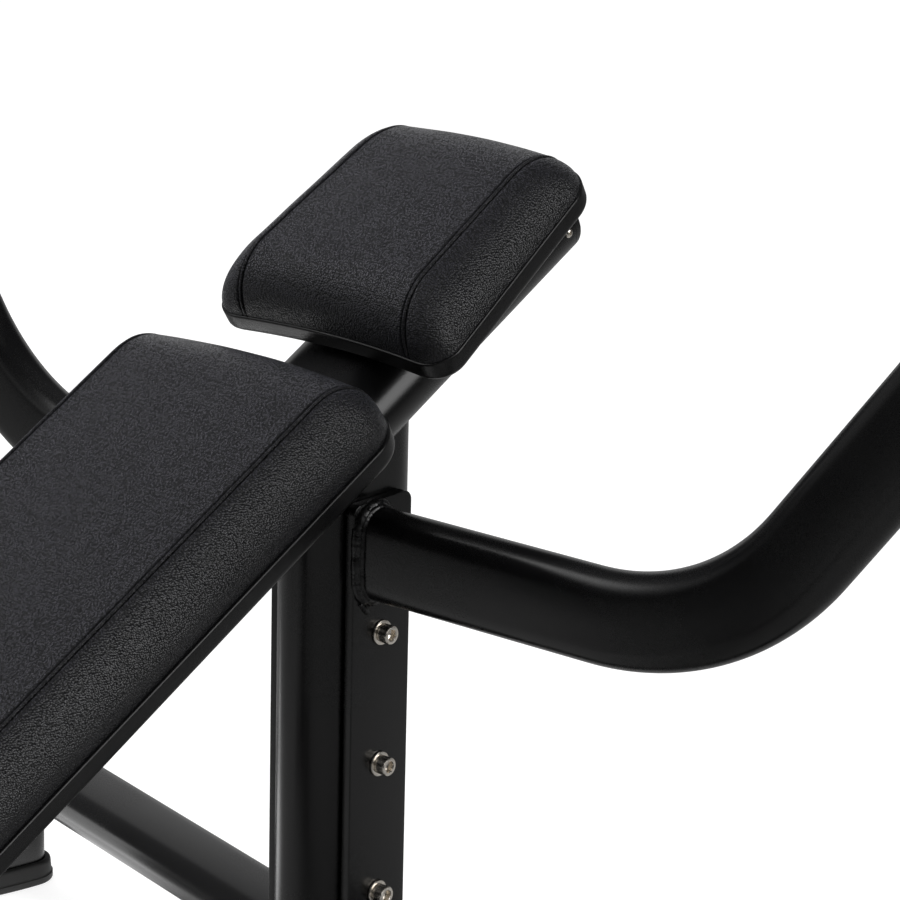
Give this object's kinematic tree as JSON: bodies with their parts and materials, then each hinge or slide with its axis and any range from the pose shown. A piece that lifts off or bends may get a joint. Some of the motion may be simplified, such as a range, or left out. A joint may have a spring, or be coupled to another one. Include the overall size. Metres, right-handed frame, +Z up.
{
  "type": "incline bench",
  "caption": "Incline bench with a flat-oval welded frame, bolted side wings that rise to two-level bar catches, a sloping back pad and headrest, and a height-adjustable seat.",
  "frame": {"origin": "middle of the bench's outline, on the floor", "axes": "+Z up, +X to the right-hand arm, +Y to the head end; the user sits facing -Y"},
  "size_m": [1.2946, 1.2428, 1.2317],
  "materials": {
    "powder_coat": "satin black powder coat",
    "stainless_steel": "bright",
    "zinc_steel": "satin zinc",
    "chrome": "polished hard chrome",
    "pad_leather": "grained satin upholstery",
    "moulded_plastic": "satin",
    "foot_rubber": "matte",
    "catch_nylon": "satin"
  },
  "bodies": {
    "frame": {"arm_cap_left": "moulded_plastic", "arm_cap_right": "moulded_plastic", "arm_left": "powder_coat", "arm_right": "powder_coat", "back_cushion": "pad_leather", "back_tray": "moulded_plastic", "bar_catch_left": "powder_coat", "bar_catch_right": "powder_coat", "cap_screw_left": "stainless_steel", "cap_screw_right": "stainless_steel", "catch_liner_left_1": "catch_nylon", "catch_liner_left_2": "catch_nylon", "catch_liner_right_1": "catch_nylon", "catch_liner_right_2": "catch_nylon", "end_shoe_left": "foot_rubber", "end_shoe_right": "foot_rubber", "foot_left": "foot_rubber", "foot_right": "foot_rubber", "front_crossbar": "powder_coat", "head_cushion": "pad_leather", "head_tray": "moulded_plastic", "head_wedge": "powder_coat", "leg_left": "powder_coat", "leg_right": "powder_coat", "pin_housing": "zinc_steel", "post_foot": "foot_rubber", "rear_post": "powder_coat", "saddle_plate": "powder_coat", "saddle_screw_left": "stainless_steel", "saddle_screw_right": "stainless_steel", "saddle_washer_left": "stainless_steel", "saddle_washer_right": "stainless_steel", "screw_left_1": "stainless_steel", "screw_left_2": "stainless_steel", "screw_left_3": "stainless_steel", "screw_right_1": "stainless_steel", "screw_right_2": "stainless_steel", "screw_right_3": "stainless_steel", "seat_sleeve": "powder_coat", "side_plate_left": "powder_coat", "side_plate_right": "powder_coat", "sleeve_collar": "moulded_plastic", "spine": "powder_coat", "spine_cap": "moulded_plastic", "washer_left_1": "stainless_steel", "washer_left_2": "stainless_steel", "washer_left_3": "stainless_steel", "washer_right_1": "stainless_steel", "washer_right_2": "stainless_steel", "washer_right_3": "stainless_steel"},
    "seat": {"seat_tube": "chrome", "seat_bracket": "powder_coat", "seat_tray": "moulded_plastic", "seat_cushion": "pad_leather"},
    "pin": {"pull_pin": "moulded_plastic"}
  },
  "joints": [
    {"name": "seat_slide", "type": "slide", "parent": "frame", "child": "seat", "axis": [0, 0, 1], "range_m": [-0.025, 0.075]},
    {"name": "pin_slide", "type": "slide", "parent": "frame", "child": "pin", "axis": [-1, 0, 0], "range_m": [0, 0.009]}
  ]
}
